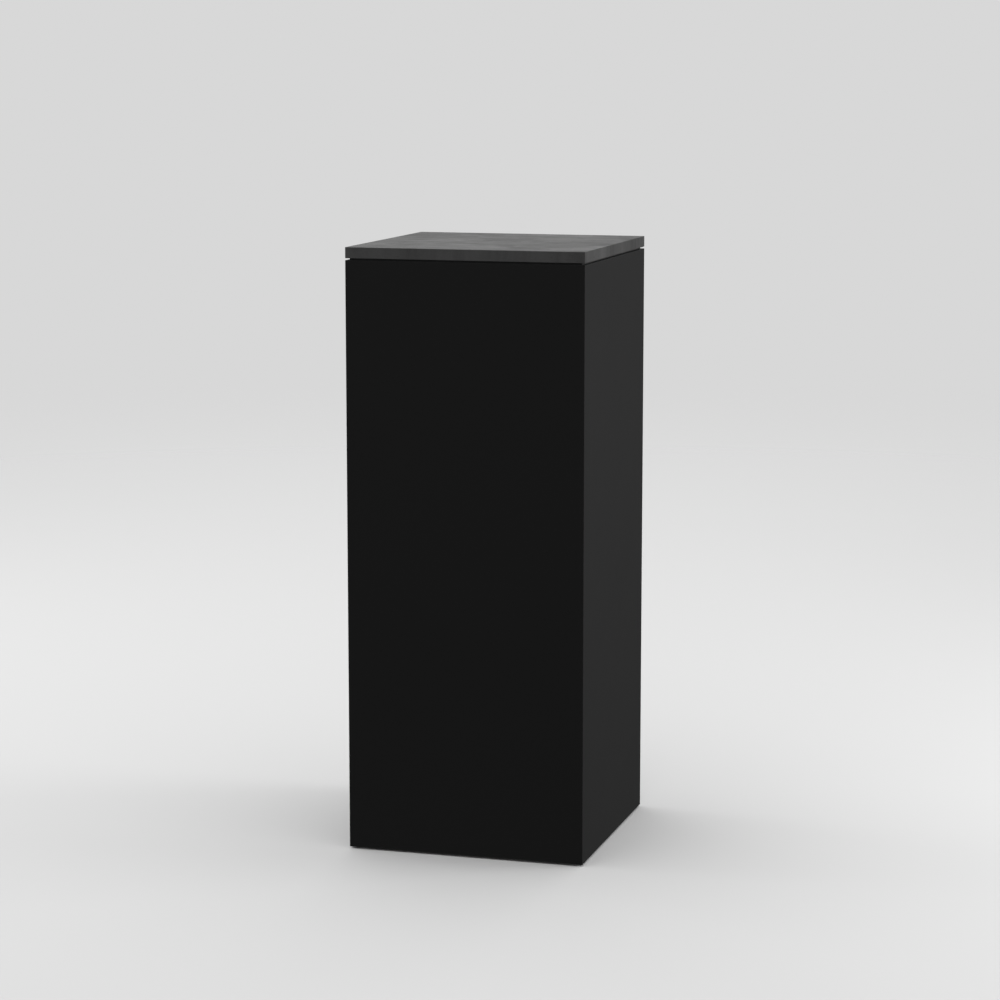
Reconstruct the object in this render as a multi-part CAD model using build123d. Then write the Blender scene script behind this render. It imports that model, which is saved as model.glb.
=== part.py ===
"""A display plinth: a square lacquered MDF column with a lift-off cement-board top on a shadow gap.

Millimetres, +Z up. The origin is on the floor under the column's centre, and the front faces -Y.
Each separate piece of the plinth is written to its own STEP file in parts/.
"""

import os

from build123d import *

# The whole plinth
plan_size = 400.0  # width and depth
overall_height = 1000.0
board = 18.0  # MDF boards and the cement-board top
shadow_gap = 3.0  # height of the neck between the column and its top
neck_inset = 6.0  # how far the neck stands back from the faces
floor_gap = 3.0  # between the floor and the panels' lower edges
panel_arris = 0.5  # eased outer edges of the lacquered panels
slab_arris = 0.6  # eased edges of the top

# Joinery inside the column
cleat_size = 20.0
cleat_arris = 1.0
frame_opening = 300.0  # the square way in, once the top is off
frame_opening_radius = 15.0
biscuit_length, biscuit_width, biscuit_thickness = 47.0, 15.0, 4.0
biscuits_per_corner = 5
biscuit_end_margin = 100.0
biscuit_set_back = 13.0  # from the outer corner to a biscuit's centre, along each face

# Screws: shank diameter, length, head diameter
board_screw = (4.0, 35.0, 8.0)
cleat_screw = (4.0, 30.0, 8.0)
neck_screw = (3.0, 14.0, 6.0)
board_screw_offset = 90.0  # from the middle of each side
cleat_screw_offset = 120.0
neck_screw_offset = 110.0

# Pins that locate the top, and the bushes that take them
pin_radius = 4.0
pin_in_slab, pin_in_bush = 12.0, 13.0
pin_lead = 1.5
pin_offset = 166.0
bush_radius, bush_length = 6.0, 14.0
bush_rim_radius, bush_rim = 8.0, 1.0
running_clearance = 0.05

# Levelling feet
foot_offset = 138.0
glide_radius, glide_height = 17.0, 3.0
pad_radius, pad_lift, pad_rim, pad_height = 20.0, 1.0, 3.0, 10.0
pad_neck_radius = 8.5
journal_radius, journal_seat = 3.0, 5.0
bead_radius, bead_lead, bead_middle = 3.4, 0.5, 1.5  # the bead that snaps into the pad
collar_across_flats, collar_height, collar_gap = 13.0, 5.5, 0.2
stop_gap = 0.3  # between the collar and the tee nut when the foot is fully in
thread_radius, thread_root_radius, thread_pitch = 4.0, 3.35, 1.25
thread_turns = 23  # ten turns out, the thread still fills the tee nut
key_across_flats, key_depth = 4.0, 6.0
nut_radius, nut_length = 5.2, 14.0
nut_flange_radius, nut_flange = 11.0, 1.5
prong_length, prong_width, prong_thickness, prong_offset = 7.0, 3.0, 1.2, 9.5
stem_relief_radius = 4.6

# Levels above the floor
slab_bottom = overall_height - board
panel_top = slab_bottom - shadow_gap
panel_height = panel_top - floor_gap
collar_bottom = pad_height + collar_gap
collar_top = collar_bottom + collar_height
base_bottom = collar_top + stop_gap + nut_flange
base_top = base_bottom + board
frame_bottom = panel_top - board

# Distances from the middle
outer = plan_size / 2
inner = outer - board
cleat_middle = inner - cleat_size / 2

sides = {"front": 0, "right": 90, "rear": 180, "left": 270}
corners = {"front_left": 0, "front_right": 90, "rear_right": 180, "rear_left": 270}


def turned(shape, degrees):
    """The shape turned about the column's axis."""
    return Rot(0, 0, degrees) * shape


def all_round(shapes):
    """Copies of the shapes on all four sides."""
    return [turned(shape, degrees) for degrees in sides.values() for shape in shapes]


def facing(shape, position, direction):
    """The shape moved to position, with its +Z turned to direction."""
    return Plane(origin=position, z_dir=direction).location * shape


def turned_profile(*points):
    """A solid of revolution about Z from (radius, height) points."""
    return revolve(Plane.XZ * Polygon(*points, align=None), Axis.Z)


def screw_body(shank, length, head):
    """A countersunk screw's outer shape: its head is flush at z = 0, and it points down."""
    head_height = (head - shank) / 2
    tip = 1.5 * shank
    return turned_profile(
        (0, 0),
        (head / 2, 0),
        (shank / 2, -head_height),
        (shank / 2, tip - length),
        (0, -length),
    )


def screw(shank, length, head):
    """The same screw with a cross recess in its head."""
    arm_length, arm_width, arm_depth = 0.6 * head, 0.15 * head, 0.35 * head
    arm = Box(arm_length, arm_width, arm_depth, align=(Align.CENTER, Align.CENTER, Align.MAX))
    return screw_body(shank, length, head) - [arm, turned(arm, 90)]


def placed(make, size, places):
    """One screw, or the shape it fills, at each (position, direction of its head)."""
    shape = make(*size)
    return [facing(shape, position, direction) for position, direction in places]


# Where the screws are on the front side, and which way their heads face
base_screw_places = [
    ((x, -cleat_middle, base_bottom), (0, 0, -1)) for x in (-board_screw_offset, board_screw_offset)
]
frame_screw_places = [
    ((x, -cleat_middle, panel_top), (0, 0, 1)) for x in (-board_screw_offset, board_screw_offset)
]
lower_cleat_screw_places, upper_cleat_screw_places = (
    [
        ((x, cleat_size - inner, z), (0, 1, 0))
        for x in (-cleat_screw_offset, 0, cleat_screw_offset)
    ]
    for z in (base_top + cleat_size / 2, frame_bottom - cleat_size / 2)
)
neck_screw_places = [
    ((x, y, panel_top), (0, 0, -1))
    for x in (-neck_screw_offset, 0, neck_screw_offset)
    for y in (-neck_screw_offset, 0, neck_screw_offset)
]


def corner_biscuits():
    """The biscuits in the front left mitre, each a lens across the joint."""
    chord, rise = biscuit_length / 2, biscuit_width / 2
    arc_radius = (chord**2 + rise**2) / (2 * rise)
    shift = arc_radius - rise
    lens = (Pos(shift, 0) * Circle(arc_radius)) & (Pos(-shift, 0) * Circle(arc_radius))
    biscuit = Rot(0, 0, -45) * extrude(Plane.XZ * lens, biscuit_thickness / 2, both=True)
    middle = biscuit_set_back - outer
    spacing = (panel_height - 2 * biscuit_end_margin) / (biscuits_per_corner - 1)
    first = floor_gap + biscuit_end_margin
    return [Pos(middle, middle, first + n * spacing) * biscuit for n in range(biscuits_per_corner)]


def wall_panel():
    """The front panel: mitred long edges, with slots for biscuits and holes for cleat screws."""
    half_arris = panel_arris / 2
    outline = Polygon(
        (panel_arris - outer, -outer),
        (outer - panel_arris, -outer),
        (outer - half_arris, half_arris - outer),
        (inner, -inner),
        (-inner, -inner),
        (half_arris - outer, half_arris - outer),
        align=None,
    )
    panel = Pos(0, 0, floor_gap) * extrude(outline, panel_height)
    long_edges = panel.edges().filter_by(Axis.X).group_by(Axis.Y)[0]
    panel = chamfer(long_edges, panel_arris)
    left_slots = corner_biscuits()
    right_slots = [turned(slot, 90) for slot in left_slots]
    cleat_screws = placed(
        screw_body, cleat_screw, lower_cleat_screw_places + upper_cleat_screw_places
    )
    return panel - left_slots - right_slots - cleat_screws


def cleat(length, bottom, wall_screw_places, board_screw_places):
    """A softwood batten inside the front panel, drilled for its own and the board's screws."""
    batten = Pos(0, -cleat_middle, bottom) * Box(
        length, cleat_size, cleat_size, align=(Align.CENTER, Align.CENTER, Align.MIN)
    )
    inner_edges = batten.edges().filter_by(Axis.X).group_by(Axis.Y)[-1]
    batten = chamfer(inner_edges, cleat_arris)
    wall_screws = placed(screw_body, cleat_screw, wall_screw_places)
    board_screws = placed(screw_body, board_screw, board_screw_places)
    return batten - wall_screws - board_screws


def base_panel():
    """The board that closes the column below and carries the feet."""
    panel = Pos(0, 0, base_bottom) * extrude(Rectangle(2 * inner, 2 * inner), board)
    screws = all_round(placed(screw_body, board_screw, base_screw_places))
    reliefs = all_round([at_first_foot(Cylinder(stem_relief_radius, 3 * base_top))])
    nuts = all_round([tee_nut()])
    return panel - screws - reliefs - nuts


def frame_board():
    """The square frame inside the column's upper end, with a router-cut way in."""
    outline = Rectangle(2 * inner, 2 * inner)
    opening = RectangleRounded(frame_opening, frame_opening, frame_opening_radius)
    frame = Pos(0, 0, frame_bottom) * extrude(outline - opening, board)
    screws = all_round(placed(screw_body, board_screw, frame_screw_places))
    return frame - screws - all_round([bush(bored=False)])


def bush(bored=True):
    """The front left bush, flush in the frame, or the solid shape that it fills."""
    sleeve = turned_profile(
        (0, 0),
        (bush_rim_radius, 0),
        (bush_rim_radius, -bush_rim),
        (bush_radius, -bush_rim),
        (bush_radius, -bush_length),
        (0, -bush_length),
    )
    if bored:
        sleeve -= Cylinder(pin_radius + running_clearance, 3 * bush_length)
    return Pos(-pin_offset, -pin_offset, panel_top) * sleeve


def locating_pin():
    """The front left pin, pressed into the slab, with a tapered lead."""
    tip = -pin_in_bush
    head = shadow_gap + pin_in_slab
    pin = turned_profile(
        (0, tip),
        (pin_radius - pin_lead, tip),
        (pin_radius, tip + pin_lead),
        (pin_radius, head),
        (0, head),
    )
    return Pos(-pin_offset, -pin_offset, panel_top) * pin


def top_fixings():
    """All that enters the neck plate and the slab from below."""
    return all_round([locating_pin()]) + placed(screw_body, neck_screw, neck_screw_places)


def top_slab():
    """The cement-board top, with eased edges and blind holes below."""
    slab = Pos(0, 0, slab_bottom) * extrude(Rectangle(plan_size, plan_size), board)
    return chamfer(slab.edges(), slab_arris) - top_fixings()


def neck_plate():
    """The thin black plate that stands the slab off the column."""
    side = plan_size - 2 * neck_inset
    plate = Pos(0, 0, panel_top) * extrude(Rectangle(side, side), shadow_gap)
    return plate - top_fixings()


def at_first_foot(shape):
    """The shape on the front left foot's axis."""
    return Pos(-foot_offset, -foot_offset, 0) * shape


def tee_nut():
    """The threaded nut pressed into the base panel from below."""
    nut = turned_profile(
        (0, base_bottom - nut_flange),
        (nut_flange_radius, base_bottom - nut_flange),
        (nut_flange_radius, base_bottom),
        (nut_radius, base_bottom),
        (nut_radius, base_bottom + nut_length),
        (0, base_bottom + nut_length),
    )
    tooth = Polygon(
        (-prong_width / 2, 0), (prong_width / 2, 0), (0, prong_length), align=None
    )
    blade = extrude(Plane.XZ * tooth, prong_thickness / 2, both=True)
    prongs = [
        turned(Pos(0, prong_offset, base_bottom) * blade, degrees) for degrees in sides.values()
    ]
    bore = Cylinder(thread_radius + running_clearance, 3 * base_top)
    return at_first_foot(nut + prongs - bore)


def journal(top, clearance=0.0):
    """The stem's lower end with its snap bead, or the bearing for it where there is clearance."""
    radius = journal_radius + clearance
    bead = bead_radius + clearance
    middle = journal_seat + bead_middle
    return turned_profile(
        (0, journal_seat),
        (radius, journal_seat),
        (radius, middle - 2 * bead_lead),
        (bead, middle - bead_lead),
        (bead, middle + bead_lead),
        (radius, middle + 2 * bead_lead),
        (radius, top),
        (0, top),
    )


def foot_stem():
    """The screw of a foot: its journal, hexagon collar and thread, with a key socket on top."""
    hexagon = RegularPolygon(collar_across_flats / 2, 6, major_radius=False)
    collar = Pos(0, 0, collar_bottom) * extrude(hexagon, collar_height)
    ridges = [(thread_root_radius, collar_top)]
    for turn in range(thread_turns):
        foot_of_ridge = collar_top + turn * thread_pitch
        ridges.append((thread_radius, foot_of_ridge + thread_pitch / 2))
        ridges.append((thread_root_radius, foot_of_ridge + thread_pitch))
    thread_top = collar_top + thread_turns * thread_pitch
    thread = turned_profile((0, collar_top), *ridges, (0, thread_top))
    key = RegularPolygon(key_across_flats / 2, 6, major_radius=False)
    socket = Pos(0, 0, thread_top - key_depth) * extrude(key, 2 * key_depth)
    return at_first_foot(journal(collar_bottom) + collar + thread - socket)


def foot_pad():
    """The moulded pad: a recess for the glide below, and a bearing for the stem above."""
    rim_top = pad_lift + pad_rim
    pad = turned_profile(
        (0, pad_lift),
        (pad_radius, pad_lift),
        (pad_radius, rim_top),
        (pad_neck_radius, pad_height),
        (0, pad_height),
    )
    recess = Cylinder(glide_radius, 2 * glide_height)
    return at_first_foot(pad - recess - journal(2 * pad_height, running_clearance))


def foot_glide():
    """The non-slip disc that stands on the floor."""
    return at_first_foot(extrude(Circle(glide_radius), glide_height))


def save(name, *solids):
    """Writes one node's solids to its STEP file."""
    shape = solids[0] if len(solids) == 1 else Compound(list(solids))
    export_step(shape, f"parts/{name}.step")


def save_column():
    """The panels, the joinery that holds them, and the fittings fixed to them."""
    panel = wall_panel()
    short = 2 * (inner - cleat_size)
    lower_places = (base_top, lower_cleat_screw_places, base_screw_places)
    upper_places = (frame_bottom - cleat_size, upper_cleat_screw_places, frame_screw_places)
    for side, degrees in sides.items():
        save(f"{side}_panel", turned(panel, degrees))
        length = 2 * inner if side in ("front", "rear") else short
        save(f"lower_{side}_cleat", turned(cleat(length, *lower_places), degrees))
        save(f"upper_{side}_cleat", turned(cleat(length, *upper_places), degrees))
    for corner, degrees in corners.items():
        save(f"{corner}_biscuits", *[turned(biscuit, degrees) for biscuit in corner_biscuits()])
        save(f"{corner}_tee_nut", turned(tee_nut(), degrees))
    save("base_panel", base_panel())
    save("upper_frame", frame_board())
    save("pin_bushes", *all_round([bush()]))
    save("base_panel_screws", *all_round(placed(screw, board_screw, base_screw_places)))
    save("upper_frame_screws", *all_round(placed(screw, board_screw, frame_screw_places)))
    save("lower_cleat_screws", *all_round(placed(screw, cleat_screw, lower_cleat_screw_places)))
    save("upper_cleat_screws", *all_round(placed(screw, cleat_screw, upper_cleat_screw_places)))


def save_top():
    """The pieces that lift off together."""
    save("top_slab", top_slab())
    save("neck_plate", neck_plate())
    save("locating_pins", *all_round([locating_pin()]))
    save("neck_plate_screws", *placed(screw, neck_screw, neck_screw_places))


def save_feet():
    """Four levelling feet, screwed fully in."""
    for corner, degrees in corners.items():
        save(f"{corner}_foot_stem", turned(foot_stem(), degrees))
        save(f"{corner}_foot_pad", turned(foot_pad(), degrees))
        save(f"{corner}_foot_glide", turned(foot_glide(), degrees))


os.makedirs("parts", exist_ok=True)
save_column()
save_top()
save_feet()
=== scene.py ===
import math
import random

import bmesh
import bpy
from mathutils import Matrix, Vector


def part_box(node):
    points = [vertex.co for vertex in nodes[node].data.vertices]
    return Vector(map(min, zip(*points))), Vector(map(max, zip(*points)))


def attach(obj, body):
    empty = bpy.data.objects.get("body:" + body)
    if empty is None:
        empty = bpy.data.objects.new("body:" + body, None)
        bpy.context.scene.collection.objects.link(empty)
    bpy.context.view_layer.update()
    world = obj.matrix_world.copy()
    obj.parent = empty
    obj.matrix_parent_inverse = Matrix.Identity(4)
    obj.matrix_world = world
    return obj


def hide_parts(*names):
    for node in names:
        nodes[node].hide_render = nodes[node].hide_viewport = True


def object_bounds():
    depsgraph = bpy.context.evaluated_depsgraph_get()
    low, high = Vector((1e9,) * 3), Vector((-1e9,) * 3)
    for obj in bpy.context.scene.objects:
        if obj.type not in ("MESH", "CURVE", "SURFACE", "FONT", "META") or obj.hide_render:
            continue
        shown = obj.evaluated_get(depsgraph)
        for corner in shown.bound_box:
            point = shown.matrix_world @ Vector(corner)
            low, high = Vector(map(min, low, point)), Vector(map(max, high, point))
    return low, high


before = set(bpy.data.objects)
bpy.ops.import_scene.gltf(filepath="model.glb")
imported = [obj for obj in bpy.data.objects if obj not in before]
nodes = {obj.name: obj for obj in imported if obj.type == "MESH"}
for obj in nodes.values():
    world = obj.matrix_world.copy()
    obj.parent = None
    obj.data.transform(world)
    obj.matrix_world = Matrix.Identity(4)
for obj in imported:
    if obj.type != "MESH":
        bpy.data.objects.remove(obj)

cadLow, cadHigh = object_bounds()
corners = ("front_left", "front_right", "rear_right", "rear_left")
sides = ("front", "right", "rear", "left")
mm = 0.001
mergeDistance = 0.002 * mm  # vertices nearer than this become one
print("frame loaded:", len(nodes), "CAD nodes")


class Wire:  # a socket in a material; sums and products of wires add Math nodes
    def __init__(self, material, socket=None):
        self.material = material
        self.socket = socket

    def node(self, kind, settings=None, values=None, out=0):
        made = self.material.node_tree.nodes.new("ShaderNode" + kind)
        for name, setting in (settings or {}).items():
            if name == "stops":
                fillRamp(made.color_ramp, setting)
            else:
                setattr(made, name, setting)
        for name, value in (values or {}).items():
            if isinstance(value, Wire):
                self.material.node_tree.links.new(value.socket, made.inputs[name])
            else:
                made.inputs[name].default_value = value
        return Wire(self.material, made.outputs[out])

    def sum(self, operation, first, second=0.0):
        return self.node("Math", {"operation": operation}, {0: first, 1: second})

    def __add__(self, other):
        return self.sum("ADD", self, other)

    def __sub__(self, other):
        return self.sum("SUBTRACT", self, other)

    def __mul__(self, other):
        return self.sum("MULTIPLY", self, other)

    def __radd__(self, other):
        return self.sum("ADD", other, self)

    def __rsub__(self, other):
        return self.sum("SUBTRACT", other, self)

    def __rmul__(self, other):
        return self.sum("MULTIPLY", other, self)

    def __abs__(self):
        return self.sum("ABSOLUTE", self)

    def largest(self, other):
        return self.sum("MAXIMUM", self, other)

    def step(self, start, end):  # 0 below start, 1 above end, smooth between
        return self.node(
            "MapRange",
            {"interpolation_type": "SMOOTHSTEP"},
            {"Value": self, "From Min": start, "From Max": end},
        )


def fillRamp(ramp, stops):
    while len(ramp.elements) < len(stops):
        ramp.elements.new(1.0)
    for element, (position, colour) in zip(ramp.elements, stops):
        element.position = position
        element.color = (*colour, 1.0)


class Finish:  # a material with one Principled shader, and the textures that finishes share
    def __init__(self, name, specular=0.5, metallic=0.0):
        self.material = bpy.data.materials.new(name)
        self.material.use_nodes = True
        self.shader = self.material.node_tree.nodes["Principled BSDF"]
        self.shader.inputs["Specular IOR Level"].default_value = specular
        self.shader.inputs["IOR"].default_value = 1.5
        self.shader.inputs["Metallic"].default_value = metallic
        self.start = Wire(self.material)
        self.place = self.start.node("TexCoord", out="Object")

    def along(self, axis):  # one coordinate of a point on the piece, in metres
        return self.start.node("SeparateXYZ", {}, {"Vector": self.place}, out=axis)

    def stretched(self, scale, turn=(0, 0, 0), shift=(0, 0, 0)):
        values = {"Vector": self.place, "Scale": scale, "Rotation": turn, "Location": shift}
        return self.start.node("Mapping", {}, values)

    def noise(self, scale, detail=2.0, rough=0.5, distortion=0.0, place=None):
        values = {
            "Vector": place or self.place,
            "Scale": scale,
            "Detail": detail,
            "Roughness": rough,
            "Distortion": distortion,
        }
        return self.start.node("TexNoise", {}, values)

    def cells(self, scale, place=None):  # distance to the nearest of many scattered points
        values = {"Vector": place or self.place, "Scale": scale, "Randomness": 1.0}
        return self.start.node("TexVoronoi", {"feature": "F1"}, values, out="Distance")

    def ramp(self, fac, *stops):
        return self.start.node("ValToRGB", {"stops": stops}, {"Fac": fac})

    def mix(self, fac, first, second, how="MIX"):
        settings = {"data_type": "RGBA", "blend_type": how}
        first, second = (c if isinstance(c, Wire) else (*c, 1.0) for c in (first, second))
        return self.start.node("Mix", settings, {0: fac, 6: first, 7: second}, out=2)

    def bump(self, height, distance):  # distance in metres
        return self.start.node("Bump", {}, {"Height": height, "Distance": distance, "Strength": 1.0})

    def join(self, **values):  # links or sets the shader's sockets
        names = {"colour": "Base Color", "roughness": "Roughness", "normal": "Normal"}
        for name, value in values.items():
            socket = self.shader.inputs[names[name]]
            if isinstance(value, Wire):
                self.material.node_tree.links.new(value.socket, socket)
            else:
                socket.default_value = value
        return self.material


def grey(value, warmth=0.0):  # a linear grey, a little warmer or cooler
    return (value * (1 + warmth), value, value * (1 - warmth))


lacquer = {
    "colour": 0.003,
    "specular": 0.183,
    "roughness": 0.78,
    "peelSize": 900.0,  # orange peel waves per metre, roughly
    "peelHeight": 0.000012,
}


def lacqueredBoard():  # black outside; inside, bare MDF with overspray towards the top
    f = Finish("black lacquered MDF", specular=lacquer["specular"])
    inner = -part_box("base_panel")[0].x
    reach = abs(f.along("X")).largest(abs(f.along("Y")))
    inside = 1.0 - reach.step(inner - 0.0002, inner + 0.0002)
    paint = f.noise(6.0, 3.0)
    fleck = f.noise(2600.0, 2.0)
    black = f.mix(paint, grey(lacquer["colour"] * 0.94), grey(lacquer["colour"] * 1.06))
    bare, bareRough = mdfColours(f)
    mist = f.along("Z").step(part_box("upper_frame")[0].z - 0.05, cadHigh.z) * 0.9
    misted = f.mix(mist * (0.75 + 0.25 * fleck), bare, grey(0.03))
    peel = f.noise(lacquer["peelSize"], 1.5, 0.4)
    rough = lacquer["roughness"] + (paint - 0.5) * 0.05 + (fleck - 0.5) * 0.04
    return f.join(
        colour=f.mix(inside, black, misted),
        roughness=rough * (1 - inside) + bareRough * inside,
        normal=f.bump(peel, lacquer["peelHeight"]),
    )


def mdfColours(f):
    fibre = f.noise(1400.0, 3.0, 0.7, place=f.stretched((1.0, 1.0, 0.35)))
    blotch = f.noise(18.0, 3.0, 0.55)
    tan = f.ramp(
        fibre, (0.3, (0.245, 0.158, 0.086)), (0.52, (0.36, 0.245, 0.14)), (0.72, (0.47, 0.34, 0.21))
    )
    warmer = f.mix(blotch, (0.82, 0.8, 0.78), (1.08, 1.05, 1.0))
    return f.mix(1.0, tan, warmer, "MULTIPLY"), 0.78 + (fibre - 0.5) * 0.2


def rawMdf():
    f = Finish("raw MDF", specular=0.3)
    colour, rough = mdfColours(f)
    nap = f.noise(2200.0, 2.0, 0.6)
    return f.join(colour=colour, roughness=rough, normal=f.bump(nap, 0.00003))


cement = {
    "colour": 0.037,
    "cloudSize": 8.5,
    "contrast": 0.5,
    "roughness": 0.66,
    "roughContrast": 0.35,
    "specular": 0.25,
    "rearPaintedShade": 0.16,  # painted shade: how much darker the board is made towards the rear edge
}


def cementBoard():  # the clouds of the top run straight down over the edges
    f = Finish("dark cement board", specular=cement["specular"])
    size = cement["cloudSize"]
    cloud = f.noise(size, 5.0, 0.62, 0.4, f.stretched((1.0, 1.5, 0.2), turn=(0, 0, math.radians(8))))
    patch = f.noise(size * 3.2, 4.0, 0.6, 0.7, f.stretched((1.2, 1.0, 0.2), shift=(2.1, 0.7, 0)))
    trowelled = f.stretched((0.55, 1.9, 0.2), turn=(0, 0, math.radians(-14)))
    trowel = f.noise(size * 5.0, 3.0, 0.6, 0.5, trowelled)
    grain = f.noise(900.0, 4.0, 0.65)
    sand = f.cells(520.0)
    fleck = f.noise(260.0, 3.0, 0.7)
    rare = f.noise(30.0, 2.0).step(0.5, 0.62)
    pits = (1.0 - f.cells(190.0).step(0.06, 0.14)) * rare
    stained = f.stretched((1.0, 1.3, 0.2), shift=(5.3, 1.9, 0))
    stain = f.noise(size * 1.9, 3.0, 0.6, 1.2, stained).step(0.58, 0.7)
    uneven = (cloud - 0.5) + (patch - 0.5) * 0.55 + (trowel - 0.5) * 0.4
    tone = 1.0 + uneven * 2.0 * cement["contrast"] + (grain - 0.5) * 0.22 - stain * 0.12
    # painted shade: the tone is darkened towards the rear edge
    tone = tone + (fleck - 0.5) * 0.3 - f.along("Y").step(0.02, cadHigh.y) * cement["rearPaintedShade"]
    # painted shade: the pits are made half as dark, standing in for the shade inside the pinholes
    tone = tone * (1.0 - pits * 0.5)
    shade = f.ramp(tone * 0.5, (0.0, grey(0.0)), (1.0, grey(cement["colour"] * 2.0, 0.006)))
    rough = cement["roughness"] - uneven * cement["roughContrast"] + (grain - 0.5) * 0.12 + pits * 0.1
    height = grain * 0.35 + cloud * 0.6 + sand * 0.12 - pits * 0.9
    return f.join(colour=shade, roughness=rough, normal=f.bump(height, 0.00022))


def paintedHardboard():
    f = Finish("black hardboard", specular=0.25)
    weave = f.noise(700.0, 3.0, 0.6)
    colour = f.mix(weave, grey(0.006), grey(0.013))
    return f.join(colour=colour, roughness=0.62 + (weave - 0.5) * 0.15, normal=f.bump(weave, 0.00004))


def pine(name, turn):  # grain along the piece's own length after the turn
    f = Finish(name, specular=0.35)
    along = f.stretched((1.0, 7.0, 7.0), turn=turn)
    bands = f.start.node(
        "TexWave",
        {"wave_type": "RINGS", "rings_direction": "X"},
        {"Vector": along, "Scale": 26.0, "Distortion": 5.0, "Detail": 3.0, "Detail Scale": 0.9},
    )
    streak = f.noise(60.0, 4.0, 0.6, place=f.stretched((0.6, 22.0, 22.0), turn=turn))
    knotPlace = f.stretched((1.0, 1.6, 1.6), turn=turn, shift=(0.37, 0, 0))
    knot = 1.0 - f.cells(6.5, place=knotPlace).step(0.03, 0.09)
    wood = f.ramp(bands, (0.0, (0.62, 0.42, 0.215)), (0.7, (0.5, 0.3, 0.13)), (1.0, (0.36, 0.19, 0.075)))
    wood = f.mix(streak * 0.4, wood, (0.68, 0.5, 0.3))
    wood = f.mix(knot, wood, (0.13, 0.06, 0.025))
    rough = 0.62 + (streak - 0.5) * 0.2
    return f.join(colour=wood, roughness=rough, normal=f.bump(bands * 0.5 + streak, 0.00006))


def beech():
    f = Finish("beech", specular=0.35)
    grain = f.noise(300.0, 3.0, 0.6, place=f.stretched((4.0, 4.0, 0.6)))
    fleck = f.cells(700.0, place=f.stretched((2.0, 2.0, 0.5)))
    colour = f.ramp(grain, (0.3, (0.42, 0.24, 0.12)), (0.7, (0.58, 0.37, 0.2)))
    colour = f.mix(1.0 - fleck.step(0.1, 0.25), colour, (0.3, 0.15, 0.07))
    return f.join(colour=colour, roughness=0.6 + (grain - 0.5) * 0.2, normal=f.bump(grain, 0.00005))


def metal(name, colour, roughness, tint, scratches=0.35, specks=0.0):
    f = Finish(name, metallic=1.0)
    cloud = f.noise(260.0, 3.0, 0.6)
    line = f.noise(1800.0, 2.0, 0.5, place=f.stretched((1.0, 1.0, 9.0)))
    toned = f.mix(cloud, colour, tint)
    rough = roughness + (cloud - 0.5) * 0.14 + (line - 0.5) * scratches * 0.3
    if specks:
        dark = (1.0 - f.cells(900.0).step(0.08, 0.2)) * specks
        toned = f.mix(dark, toned, grey(0.08))
        rough = rough + dark * 0.3
    return f.join(colour=toned, roughness=rough, normal=f.bump(line, 0.000008))


def blackenedSteel():
    f = Finish("black steel", metallic=1.0)
    cloud = f.noise(500.0, 3.0)
    colour = f.mix(cloud, grey(0.03), grey(0.07))
    return f.join(colour=colour, roughness=0.42 + (cloud - 0.5) * 0.2, normal=f.bump(cloud, 0.00001))


def nylon():
    f = Finish("black nylon", specular=0.45)
    spark = f.noise(2400.0, 2.0)
    flow = f.noise(70.0, 3.0, 0.6)
    colour = f.mix(flow, grey(0.012), grey(0.02))
    rough = 0.42 + (flow - 0.5) * 0.14 + (spark - 0.5) * 0.12
    return f.join(colour=colour, roughness=rough, normal=f.bump(spark, 0.00002))


def rubber():
    f = Finish("grey rubber", specular=0.3)
    dust = f.noise(120.0, 4.0, 0.65)
    fine = f.noise(2600.0, 2.0)
    colour = f.mix(dust.step(0.4, 0.75), grey(0.035, 0.02), grey(0.09, 0.05))
    return f.join(colour=colour, roughness=0.8 + (fine - 0.5) * 0.2, normal=f.bump(fine, 0.00003))


def cover(name, material):  # gives a CAD node its finish
    node = nodes[name]
    node.data.materials.clear()
    node.data.materials.append(material)


def finishCadNodes():
    lacquered = lacqueredBoard()
    bare = rawMdf()
    across = pine("pine along X", (0, 0, 0))
    deep = pine("pine along Y", (0, 0, math.radians(90)))
    zinc = metal("zinc-plated steel", (0.55, 0.57, 0.6), 0.34, (0.46, 0.49, 0.5), specks=0.25)
    yellow = metal("yellow zinc steel", (0.62, 0.44, 0.16), 0.36, (0.55, 0.47, 0.22), specks=0.2)
    bright = metal("ground steel", (0.58, 0.57, 0.56), 0.22, (0.5, 0.5, 0.5), 0.6)
    brass = metal("brass", (0.68, 0.47, 0.17), 0.3, (0.5, 0.32, 0.12), 0.5)
    peg = beech()
    for side in sides:
        cover(side + "_panel", lacquered)
        for level in ("lower", "upper"):
            cover(f"{level}_{side}_cleat", across if side in ("front", "rear") else deep)
    for corner in corners:
        cover(corner + "_biscuits", peg)
        cover(corner + "_tee_nut", zinc)
    for name in ("base_panel", "upper_frame"):
        cover(name, bare)
    for name in ("base_panel", "upper_frame", "lower_cleat", "upper_cleat"):
        cover(name + "_screws", yellow)
    cover("pin_bushes", brass)
    cover("locating_pins", bright)
    cover("neck_plate", paintedHardboard())
    cover("neck_plate_screws", blackenedSteel())
    print("CAD nodes finished")
    return zinc


# small tools for modelling with operators

def select(*pieces):  # these and nothing else, with the first one active
    bpy.ops.object.select_all(action="DESELECT")
    for piece in pieces:
        piece.select_set(True)
    bpy.context.view_layer.objects.active = pieces[0]


def settle(name):  # names the object just added and puts its place in its mesh
    piece = bpy.context.object
    piece.name = name
    bpy.ops.object.transform_apply(location=True, rotation=True, scale=True)
    return piece


def edit(piece):
    select(piece)
    bpy.ops.object.mode_set(mode="EDIT")
    bpy.ops.mesh.select_all(action="DESELECT")


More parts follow.
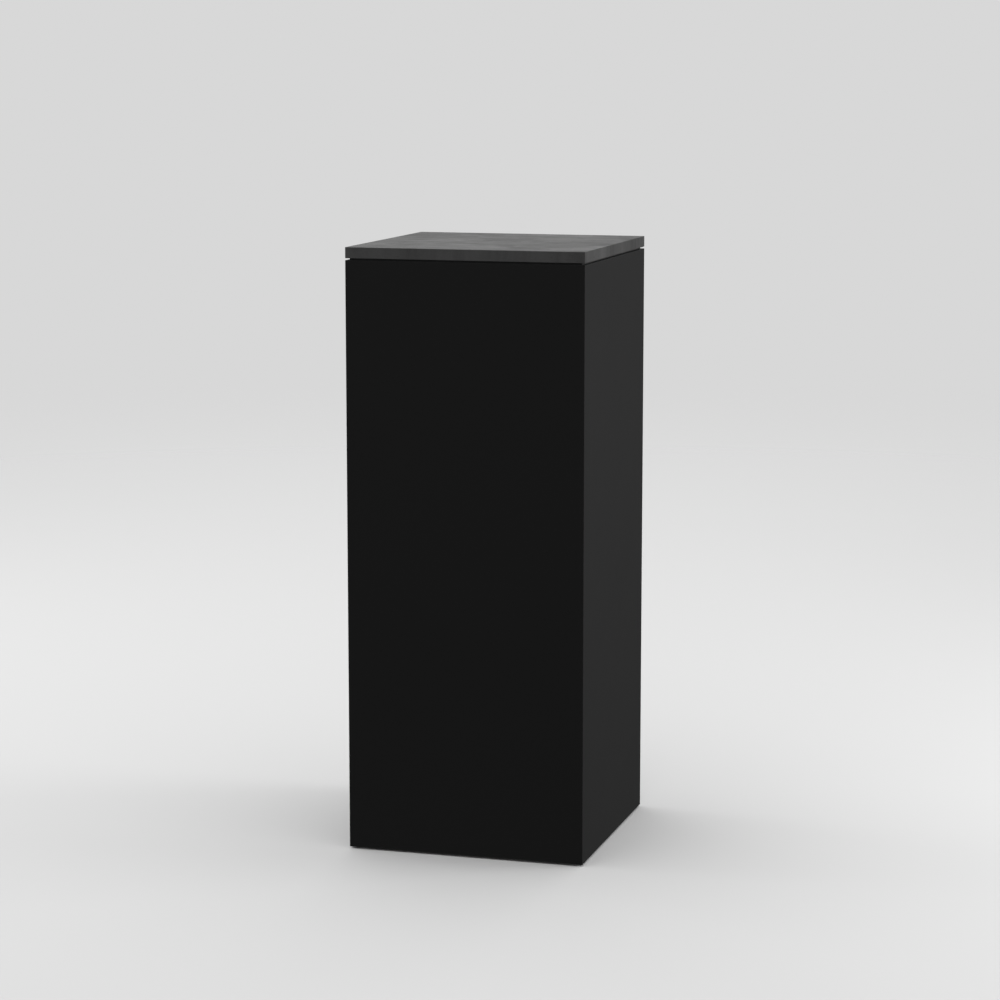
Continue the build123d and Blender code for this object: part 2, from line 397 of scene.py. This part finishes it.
def pick(kind, test):  # in edit mode: selects the vertices, edges or faces that pass the test
    bpy.ops.mesh.select_mode(type=kind)
    bpy.ops.mesh.select_all(action="DESELECT")
    mesh = bmesh.from_edit_mesh(bpy.context.object.data)
    mesh.normal_update()
    for item in {"VERT": mesh.verts, "EDGE": mesh.edges, "FACE": mesh.faces}[kind]:
        item.select_set(bool(test(item)))
    mesh.select_flush_mode()
    bmesh.update_edit_mesh(bpy.context.object.data)


def close():  # doubles merged, normals outward, back to object mode
    bpy.ops.mesh.select_mode(type="VERT")
    bpy.ops.mesh.select_all(action="SELECT")
    bpy.ops.mesh.remove_doubles(threshold=mergeDistance)
    bpy.ops.mesh.normals_make_consistent(inside=False)
    bpy.ops.object.mode_set(mode="OBJECT")


def combine(piece, tool, how="DIFFERENCE"):  # a boolean that uses the tool up
    change = piece.modifiers.new("combine", "BOOLEAN")
    change.operation = how
    change.solver = "EXACT"
    change.object = tool
    select(piece)
    bpy.ops.object.modifier_apply(modifier=change.name)
    bpy.data.objects.remove(tool)


def drawProfile(name, points):  # one vertex drawn out from point to point, radius and height in mm
    bpy.ops.object.select_all(action="DESELECT")
    radius, height = points[0]
    bpy.ops.mesh.primitive_plane_add(size=mm, location=(radius * mm, 0, height * mm))
    piece = settle(name)
    bpy.ops.object.mode_set(mode="EDIT")
    bpy.ops.mesh.merge(type="CENTER")
    for (radius, height), (nextRadius, nextHeight) in zip(points, points[1:]):
        step = ((nextRadius - radius) * mm, 0, (nextHeight - height) * mm)
        bpy.ops.mesh.extrude_region_move(TRANSFORM_OT_translate={"value": step})
    return piece


def turned(name, points, steps=48):  # a profile spun about the Z axis
    piece = drawProfile(name, points)
    bpy.ops.mesh.select_all(action="SELECT")
    bpy.ops.mesh.spin(steps=steps, angle=math.tau, center=(0, 0, 0), axis=(0, 0, 1))
    close()
    return piece


def hexBar(name, flats, bottom, top, turn=0.0):  # mm and degrees
    radius = flats / math.sqrt(3) * mm
    middle = (0, 0, (bottom + top) / 2 * mm)
    bpy.ops.object.select_all(action="DESELECT")
    bpy.ops.mesh.primitive_cylinder_add(
        vertices=6, radius=radius, depth=(top - bottom) * mm, location=middle,
        rotation=(0, 0, math.radians(turn)),
    )
    return settle(name)


def copied(original, name, place=(0, 0, 0), size=(1, 1, 1), turn=(0, 0, 0)):
    piece = bpy.data.objects.new(name, original.data.copy())
    bpy.context.collection.objects.link(piece)
    piece.location = place
    piece.scale = size
    piece.rotation_euler = turn
    select(piece)
    return settle(name)


def joined(pieces):
    select(*pieces)
    bpy.ops.object.join()
    return bpy.context.object


def smooth(piece, degrees=35):
    select(piece)
    bpy.ops.object.shade_smooth_by_angle(angle=math.radians(degrees))


def fit(piece, finish, body, node):  # the piece takes a CAD node's part
    piece.data.materials.clear()
    piece.data.materials.append(finish)
    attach(piece, body)
    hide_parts(node)


cementTop = {
    "cuts": 9,  # cuts each way, so that no face spans the whole board
    "arris": 0.6 * mm,
    "poreGrid": 22,  # at most one pore in each square of this grid
    "pores": 120,
    "edgePores": 13,  # on each edge
    "poreSize": (0.22 * mm, 1.15 * mm),
    "chips": 4,  # tiny breaks on each upper edge
    "seed": 5,
}


def poreSize():  # most pores are small
    small, large = cementTop["poreSize"]
    return small + (large - small) * random.random() ** 2.6


def bubble():  # an uneven ball that leaves an air hole when it is cut away
    bpy.ops.object.select_all(action="DESELECT")
    bpy.ops.mesh.primitive_ico_sphere_add(subdivisions=2, radius=1.0)
    bpy.ops.object.mode_set(mode="EDIT")
    bpy.ops.transform.vertex_random(offset=0.16, seed=3)
    bpy.ops.object.mode_set(mode="OBJECT")
    return settle("bubble")


def porePlaces(low, high):  # where the holes are: place and size of each
    side = high.x - low.x
    square = side / cementTop["poreGrid"]
    squares = [(i, j) for i in range(cementTop["poreGrid"]) for j in range(cementTop["poreGrid"])]
    for i, j in random.sample(squares, cementTop["pores"]):
        size = poreSize()
        x = low.x + (i + random.uniform(0.25, 0.75)) * square
        y = low.y + (j + random.uniform(0.25, 0.75)) * square
        flat = random.uniform(0.6, 1.0)
        yield (x, y, high.z), (size, size * random.uniform(0.6, 1.0), size * flat)
    count = cementTop["edgePores"]
    for edge in range(4):
        across = Vector((math.sin(edge * math.pi / 2), -math.cos(edge * math.pi / 2), 0))
        along = Vector((-across.y, across.x, 0))
        for i in range(count):
            slide = (i + random.uniform(0.2, 0.8)) / count - 0.5
            size = poreSize()
            height = random.uniform(low.z + 3 * mm, high.z - 3 * mm)
            at = across * side / 2 + along * slide * (side - 8 * mm)
            yield (at.x, at.y, height), (size, size, size * random.uniform(0.6, 1.0))
        for i in range(cementTop["chips"]):
            slide = (i + random.uniform(0.1, 0.9)) / cementTop["chips"] - 0.5
            size = random.uniform(0.45, 0.8) * mm
            at = across * (side / 2 + 0.15 * mm) + along * slide * (side - 20 * mm)
            spread = Vector((abs(along.x), abs(along.y), 0)) * size * random.uniform(0.8, 2.2)
            yield (at.x, at.y, high.z + 0.15 * mm), (size + spread.x, size + spread.y, size)


def makeCementTop(finish):
    random.seed(cementTop["seed"])
    low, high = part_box("top_slab")
    middle = (low + high) / 2
    bpy.ops.object.select_all(action="DESELECT")
    bpy.ops.mesh.primitive_cube_add(size=1, location=middle, scale=high - low)
    board = settle("cement_top")
    edit(board)
    bpy.ops.mesh.select_all(action="SELECT")
    bpy.ops.mesh.bevel(offset=cementTop["arris"], segments=2, profile=0.5, affect="EDGES")
    for i in range(1, cementTop["cuts"] + 1):
        at = low.lerp(high, i / (cementTop["cuts"] + 1))
        for normal in ((1, 0, 0), (0, 1, 0)):
            bpy.ops.mesh.select_all(action="SELECT")
            bpy.ops.mesh.bisect(plane_co=(at.x, at.y, middle.z), plane_no=normal)
    close()
    ball = bubble()
    holes = []
    for place, size in porePlaces(low, high):
        turn = (0, 0, random.uniform(-0.3, 0.3))
        holes.append(copied(ball, "hole", place, size, turn))
    bpy.data.objects.remove(ball)
    combine(board, joined(holes))
    for name in ("locating_pins", "neck_plate_screws"):  # each sits in its own hole
        tool = copied(nodes[name], "tool")
        edit(tool)
        close()
        combine(board, tool)
    smooth(board, 20)
    fit(board, finish, "lift_off_top", "top_slab")
    print("cement top made:", len(board.data.polygons), "faces")


stem = {  # mm
    "journal": 3.0,
    "bead": (3.4, 6.0, 7.0),  # radius, bottom and top
    "collarFlats": 13.0,
    "collar": (10.2, 15.7),
    "collarFace": 6.3,  # radius of the flat inside the collar's chamfer
    "relief": (3.2, 16.6),  # radius, and the height where the thread starts
    "thread": (3.25, 4.0),  # root and crest
    "pitch": 1.25,
    "stepsPerTurn": 32,
    "keyFlats": 4.0,
    "keyDepth": 6.0,
}


def threadedRod(bottom, top):  # a plain helical bar, longer than the thread at both ends
    root, crest = stem["thread"]
    pitch = stem["pitch"]
    start = bottom - 2 * pitch
    turns = math.ceil((top - start) / pitch) + 2
    flank = pitch * 5 / 16
    points = [(root, start), (root, start + pitch / 4), (crest, start + pitch / 4 + flank)]
    points += [(crest, start + pitch * 3 / 8 + flank), (root, start + pitch)]
    rod = drawProfile("rod", points)
    bpy.ops.object.mode_set(mode="OBJECT")
    screw = rod.modifiers.new("thread", "SCREW")
    screw.axis = "Z"
    screw.screw_offset = pitch * mm
    screw.iterations = turns
    screw.steps = screw.render_steps = stem["stepsPerTurn"]
    bpy.ops.object.modifier_apply(modifier=screw.name)
    edit(rod)
    bpy.ops.mesh.select_all(action="SELECT")
    bpy.ops.mesh.remove_doubles(threshold=mergeDistance)
    middle = (start + turns * pitch / 2) * mm
    for sign in (-1, 1):  # each open end is drawn to a point
        pick("EDGE", lambda edge: edge.is_boundary and (edge.verts[0].co.z - middle) * sign > 0)
        bpy.ops.mesh.extrude_edges_move(TRANSFORM_OT_translate={"value": (0, 0, sign * pitch * mm)})
        bpy.ops.mesh.merge(type="CENTER")
    close()
    return rod


def makeStem():  # modelled once on the Z axis
    low, high = (corner.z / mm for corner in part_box("front_left_foot_stem"))
    journal = stem["journal"]
    bead, beadLow, beadHigh = stem["bead"]
    collarLow, collarHigh = stem["collar"]
    piece = turned("stem", [
        (0, low), (journal - 0.25, low), (journal, low + 0.3), (journal, beadLow - 0.5),
        (bead - 0.12, beadLow - 0.18), (bead, beadLow + 0.15), (bead, beadHigh - 0.15),
        (bead - 0.12, beadHigh + 0.18), (journal, beadHigh + 0.5), (journal, collarLow + 1),
        (0, collarLow + 1),
    ])
    collar = hexBar("collar", stem["collarFlats"], collarLow, collarHigh, 30)
    corner = stem["collarFlats"] / math.sqrt(3) + 0.1
    face = stem["collarFace"]
    slope = (corner - face) * math.tan(math.radians(30))
    combine(collar, turned("dome", [
        (0, collarLow), (face, collarLow), (corner, collarLow + slope), (corner, collarHigh - slope),
        (face, collarHigh), (0, collarHigh),
    ]), "INTERSECT")
    combine(piece, collar, "UNION")
    rod = threadedRod(collarHigh, high)
    root, crest = stem["thread"]
    relief, threadStart = stem["relief"]
    rise = crest - root + 0.1
    combine(rod, turned("ends", [
        (0, collarHigh - 1), (relief, collarHigh - 1), (relief, threadStart),
        (crest + 0.1, threadStart + rise),
        (crest + 0.1, high - rise), (root, high), (0, high),
    ]), "INTERSECT")
    combine(piece, rod, "UNION")
    key = stem["keyFlats"]
    combine(piece, hexBar("key", key, high - stem["keyDepth"], high + 1, 30))
    lead = key / 2 + 0.5
    combine(piece, turned("lead", [
        (0, high - 1), (lead - 1, high - 1), (lead + 0.5, high + 0.5), (0, high + 0.5),
    ]))
    smooth(piece, 30)
    return piece


pad = {  # mm
    "rim": (20.0, 3.4),  # radius and height
    "recess": (17.0, 3.0),
    "hub": (8.5, 10.0),
    "valley": ((19.3, 4.0), (17.6, 4.1), (11.6, 6.2), (9.3, 8.2)),
    "bore": (3.05, 5.0),
    "groove": (3.45, 5.5, 6.0, 7.0, 7.5),
    "ribs": 16,
    "ribHeight": 0.75,
    "steps": 96,
}


def sector(face, steps):  # which step of the spin a face belongs to
    centre = face.calc_center_median()
    return math.floor(math.atan2(centre.y, centre.x) / math.tau * steps) % steps


def makePad():
    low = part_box("front_left_foot_pad")[0].z / mm
    rim, rimHigh = pad["rim"]
    recess, recessHigh = pad["recess"]
    hub, top = pad["hub"]
    bore, seat = pad["bore"]
    groove, grooveLow, grooveIn, grooveOut, grooveHigh = pad["groove"]
    piece = turned("pad", [
        (0, recessHigh), (recess - 0.3, recessHigh), (recess, recessHigh - 0.3), (recess, low + 0.3),
        (recess + 0.3, low), (rim - 0.5, low), (rim - 0.15, low + 0.15), (rim, low + 0.5),
        (rim, rimHigh - 0.3),
        (rim - 0.2, rimHigh + 0.25), *pad["valley"], (hub + 0.1, top - 1.0), (hub, top - 0.4),
        (hub - 0.4, top),
        (bore + 0.4, top), (bore, top - 0.4), (bore, grooveHigh), (groove, grooveOut), (groove, grooveIn),
        (bore, grooveLow), (bore, seat), (0, seat),
    ], pad["steps"])
    inner, outer = pad["valley"][3][0] * mm, pad["valley"][0][0] * mm
    spacing = pad["steps"] // pad["ribs"]

    def onRib(face):
        centre = face.calc_center_median()
        reach = centre.xy.length
        sloping = face.normal.z > 0.3 and centre.z > rimHigh * mm
        return sloping and inner < reach < outer and sector(face, pad["steps"]) % spacing == 0

    edit(piece)
    pick("FACE", onRib)
    bpy.ops.mesh.extrude_region_shrink_fatten(TRANSFORM_OT_shrink_fatten={"value": pad["ribHeight"] * mm})
    bpy.ops.mesh.inset(thickness=0.12 * mm, depth=0.1 * mm, use_boundary=True)
    close()
    smooth(piece, 40)
    return piece


glide = {  # mm
    "edge": 0.7,
    "rings": ((3.0, 6.4), (8.0, 11.0), (12.6, 16.3)),  # treads that touch the floor
    "groove": 0.7,
    "slots": 12,
    "slotDepth": 0.5,
    "steps": 96,
}


def makeGlide():
    low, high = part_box("front_left_foot_glide")
    radius = (high.x - low.x) / 2 / mm
    top = high.z / mm
    groove = glide["groove"]
    points = [(0, groove)]
    for inner, outer in glide["rings"]:
        points += [(inner - 0.35, groove), (inner, 0), (outer, 0), (outer + 0.35, groove)]
    points[-1] = (radius, glide["edge"])
    piece = turned("glide", points + [(radius, top - 0.2), (radius - 0.2, top), (0, top)], glide["steps"])
    spacing = glide["steps"] // glide["slots"]
    edit(piece)
    pick("FACE", lambda face: face.normal.z < -0.9 and face.calc_center_median().z < 0.01 * mm
         and sector(face, glide["steps"]) % spacing == 0)
    bpy.ops.mesh.inset(thickness=0, depth=-glide["slotDepth"] * mm, use_boundary=True)
    close()
    smooth(piece, 40)
    return piece


def makeFeet(zinc, plastic, softFinish):
    made = {"stem": makeStem(), "pad": makePad(), "glide": makeGlide()}
    print("foot pieces modelled:", {part: len(piece.data.polygons) for part, piece in made.items()})
    for number, corner in enumerate(corners):
        low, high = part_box(corner + "_foot_pad")
        axis = ((low.x + high.x) / 2, (low.y + high.y) / 2, 0)
        turn = (0, 0, math.radians(17 * number))  # no two feet are screwed in alike
        threaded = copied(made["stem"], corner + "_threaded_stem", axis, turn=turn)
        moulded = copied(made["pad"], corner + "_moulded_pad", axis, turn=turn)
        grooved = copied(made["glide"], corner + "_grooved_glide", axis, turn=turn)
        fit(threaded, zinc, corner + "_foot_screw", corner + "_foot_stem")
        fit(moulded, plastic, corner + "_foot", corner + "_foot_pad")
        fit(grooved, softFinish, corner + "_foot", corner + "_foot_glide")
    for piece in made.values():
        bpy.data.objects.remove(piece)
    print("feet made:", len(corners))


stage = {
    "radius": 9.0,
    "fadeStart": 2.0,  # from here out the floor melts into the backdrop
    "fadeEnd": 6.8,
    "albedo": 0.5,
    "backdrop": 0.686,
}


def makeFloor():
    bpy.ops.mesh.primitive_circle_add(vertices=96, radius=stage["radius"], fill_type="NGON")
    floor = bpy.context.object
    floor.name = "pale_floor"
    f = Finish("pale floor", specular=0.0)
    paper = f.noise(0.7, 2.0)
    tone = stage["albedo"]
    f.join(colour=f.mix(paper, grey(tone * 0.995), grey(tone * 1.005)), roughness=0.9)
    reach = f.start.node("VectorMath", {"operation": "LENGTH"}, {0: f.place}, out="Value")
    underneath = f.start.node("NewGeometry", out="Backfacing")
    seen = f.start.node("LightPath", out="Is Camera Ray")
    # far out or from below, the camera sees through the floor
    gone = 1.0 - (1.0 - reach.step(stage["fadeStart"], stage["fadeEnd"])) * (1.0 - underneath)
    solid = 1.0 - gone * seen
    f.material.node_tree.links.new(solid.socket, f.shader.inputs["Alpha"])
    floor.data.materials.append(f.material)
    floor.visible_diffuse = False  # the dome's lower half fills from below instead
    floor.visible_glossy = False
    floor.visible_shadow = False


lights = {
    "overhead": {"at": (0.0, 0.0, 4.0), "aim": (0, 0, 0), "size": (4.0, 4.0), "power": 41.0},
    "front": {"at": (-0.8, -3.2, 3.4), "aim": (-0.8, -2.8, 0), "size": (3.0, 2.0), "power": 27.0},
    "canopy": {"at": (-2.4, 5.4, 4.5), "aim": (-2.4, 5.4, 0), "size": (8.0, 5.0), "power": 158.0},
    "canopy_right": {"at": (3.4, 6.4, 4.5), "aim": (3.4, 6.4, 0), "size": (5.0, 4.0), "power": 12.0},
    "left": {"at": (-3.6, 0.2, 2.0), "aim": (0, 0, 0.6), "size": (2.0, 2.0), "power": 41.0},
    "right": {"at": (2.7, 0.7, 1.1), "aim": (0.2, 0, 0.8), "size": (1.2, 1.2), "power": 40.0},
    "under": {"at": (0.0, 0.0, -0.5), "aim": (0, 0, 0), "size": (0.36, 0.36), "power": 1.6},
}
dome = {"upper": 0.98, "lower": 0.21}


def makeLights():
    for name, lamp in lights.items():
        bpy.ops.object.light_add(type="AREA", location=lamp["at"])
        made = bpy.context.object
        made.name = name + "_softbox"
        made.data.shape = "RECTANGLE"
        made.data.size, made.data.size_y = lamp["size"]
        made.data.energy = lamp["power"]
        facing = Vector(lamp["aim"]) - Vector(lamp["at"])
        made.rotation_euler = facing.to_track_quat("-Z", "Y").to_euler()
        made.visible_camera = False
    world = bpy.data.worlds.new("studio")
    world.use_nodes = True
    bpy.context.scene.world = world
    sky = Wire(world)
    height = sky.node("SeparateXYZ", {}, {"Vector": sky.node("TexCoord", out="Generated")}, out="Z")
    glow = height.step(-0.02, 0.02) * (dome["upper"] - dome["lower"]) + dome["lower"]
    seen = sky.node("LightPath", out="Is Camera Ray")
    strength = seen * (stage["backdrop"] - glow) + glow
    lit = sky.node("Background", {}, {"Color": (1, 1, 1, 1), "Strength": strength})
    world.node_tree.links.new(lit.socket, world.node_tree.nodes["World Output"].inputs["Surface"])


camera = {
    "stand": (1.36, -4.638, 1.327),
    "turn": 16.32,  # degrees to the left of +Y
    "tilt": 8.95,  # degrees below the horizon
    "lens": 104.74,  # mm, for this sensor width
    "sensor": 36.0,
}


def makeCamera():
    pitch, yaw = math.radians(90 - camera["tilt"]), math.radians(camera["turn"])
    bpy.ops.object.camera_add(location=camera["stand"], rotation=(pitch, 0, yaw))
    made = bpy.context.object
    made.data.lens = camera["lens"]
    made.data.sensor_width = camera["sensor"]
    bpy.context.scene.camera = made
    bpy.context.scene.view_settings.view_transform = "Standard"


makeCamera()
makeFloor()
makeLights()
print("stage, lights and camera set")
zincFinish = finishCadNodes()
makeCementTop(cementBoard())
makeFeet(zincFinish, nylon(), rubber())
